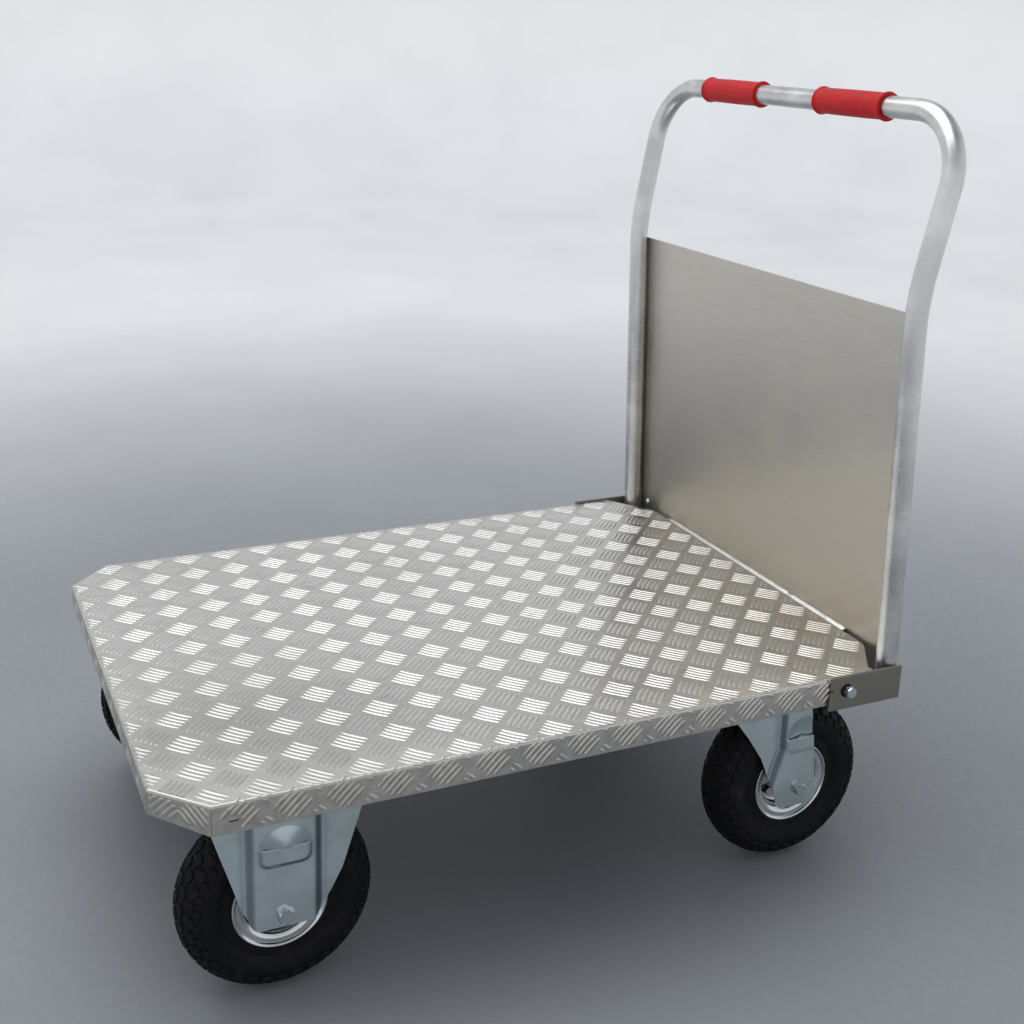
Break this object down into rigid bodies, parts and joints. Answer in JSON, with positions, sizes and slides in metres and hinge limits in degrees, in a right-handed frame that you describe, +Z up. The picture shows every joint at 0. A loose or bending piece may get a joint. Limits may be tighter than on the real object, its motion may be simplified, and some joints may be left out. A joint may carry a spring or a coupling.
{
  "type": "platform trolley",
  "caption": "Aluminium platform trolley with a chequer plate deck, a fixed push handle with soft grips and a back panel, rigid front castors and swivel rear castors on pneumatic tyres.",
  "frame": {"origin": "on the floor, at the middle of the overall length and width", "axes": "+Z up; +Y along the trolley towards the handle, so the open front faces -Y; +X across it, to the left of someone pushing"},
  "size_m": [0.7642, 1.0698, 1.0951],
  "materials": {
    "chequer_plate": "mill-finish five-bar chequer plate, lightly scuffed",
    "brushed_sheet": "dull rolled sheet with faint streaks",
    "tube_aluminium": "satin drawn tube",
    "zinc_plate": "bright bluish zinc plating on pressed steel",
    "rim_zinc": "polished zinc plating",
    "bolt_zinc": "zinc plated fasteners",
    "tyre_rubber": "matte black rubber with block tread",
    "grip_red": "soft red sleeve"
  },
  "bodies": {
    "frame": {"axle_front_left": "bolt_zinc", "axle_front_right": "bolt_zinc", "axle_nut_front_left": "bolt_zinc", "axle_nut_front_right": "bolt_zinc", "back_panel": "brushed_sheet", "bracket_bolt_left": "bolt_zinc", "bracket_bolt_right": "bolt_zinc", "bracket_nut_left": "bolt_zinc", "bracket_nut_right": "bolt_zinc", "castor_channel_front": "brushed_sheet", "castor_channel_rear": "brushed_sheet", "deck_rail_left": "brushed_sheet", "deck_rail_right": "brushed_sheet", "deck_rib_front": "brushed_sheet", "deck_rib_rear": "brushed_sheet", "deck_tray": "chequer_plate", "fixed_fork_left": "zinc_plate", "fixed_fork_right": "zinc_plate", "grip_left": "grip_red", "grip_right": "grip_red", "handle_tube": "tube_aluminium", "kingpin_left": "bolt_zinc", "kingpin_nut_left": "bolt_zinc", "kingpin_nut_right": "bolt_zinc", "kingpin_right": "bolt_zinc", "panel_rivet_left": "bolt_zinc", "panel_rivet_right": "bolt_zinc", "side_bracket_left": "brushed_sheet", "side_bracket_right": "brushed_sheet", "swivel_plate_left": "zinc_plate", "swivel_plate_right": "zinc_plate", "swivel_race_left": "zinc_plate", "swivel_race_right": "zinc_plate"},
    "wheel_front_left": {"tyre_front_left": "tyre_rubber", "rim_outer_front_left": "rim_zinc", "rim_inner_front_left": "rim_zinc", "hub_front_left": "bolt_zinc", "valve_front_left": "tyre_rubber"},
    "swivel_left": {"swivel_fork_left": "zinc_plate", "axle_rear_left": "bolt_zinc", "axle_nut_rear_left": "bolt_zinc"},
    "wheel_rear_left": {"tyre_rear_left": "tyre_rubber", "rim_outer_rear_left": "rim_zinc", "rim_inner_rear_left": "rim_zinc", "hub_rear_left": "bolt_zinc", "valve_rear_left": "tyre_rubber"},
    "wheel_front_right": {"tyre_front_right": "tyre_rubber", "rim_outer_front_right": "rim_zinc", "rim_inner_front_right": "rim_zinc", "hub_front_right": "bolt_zinc", "valve_front_right": "tyre_rubber"},
    "swivel_right": {"swivel_fork_right": "zinc_plate", "axle_rear_right": "bolt_zinc", "axle_nut_rear_right": "bolt_zinc"},
    "wheel_rear_right": {"tyre_rear_right": "tyre_rubber", "rim_outer_rear_right": "rim_zinc", "rim_inner_rear_right": "rim_zinc", "hub_rear_right": "bolt_zinc", "valve_rear_right": "tyre_rubber"}
  },
  "joints": [
    {"name": "front_wheel_left_spin", "type": "hinge", "parent": "frame", "child": "wheel_front_left", "pos_m": [0.279, -0.3779, 0.125], "axis": [1, 0, 0], "continuous": true},
    {"name": "castor_left_swivel", "type": "hinge", "parent": "frame", "child": "swivel_left", "pos_m": [0.279, 0.3321, 0.284], "axis": [0, 0, 1], "continuous": true},
    {"name": "rear_wheel_left_spin", "type": "hinge", "parent": "swivel_left", "child": "wheel_rear_left", "pos_m": [0.279, 0.3821, 0.125], "axis": [1, 0, 0], "continuous": true},
    {"name": "front_wheel_right_spin", "type": "hinge", "parent": "frame", "child": "wheel_front_right", "pos_m": [-0.279, -0.3779, 0.125], "axis": [1, 0, 0], "continuous": true},
    {"name": "castor_right_swivel", "type": "hinge", "parent": "frame", "child": "swivel_right", "pos_m": [-0.279, 0.3321, 0.284], "axis": [0, 0, 1], "continuous": true},
    {"name": "rear_wheel_right_spin", "type": "hinge", "parent": "swivel_right", "child": "wheel_rear_right", "pos_m": [-0.279, 0.3821, 0.125], "axis": [1, 0, 0], "continuous": true}
  ]
}
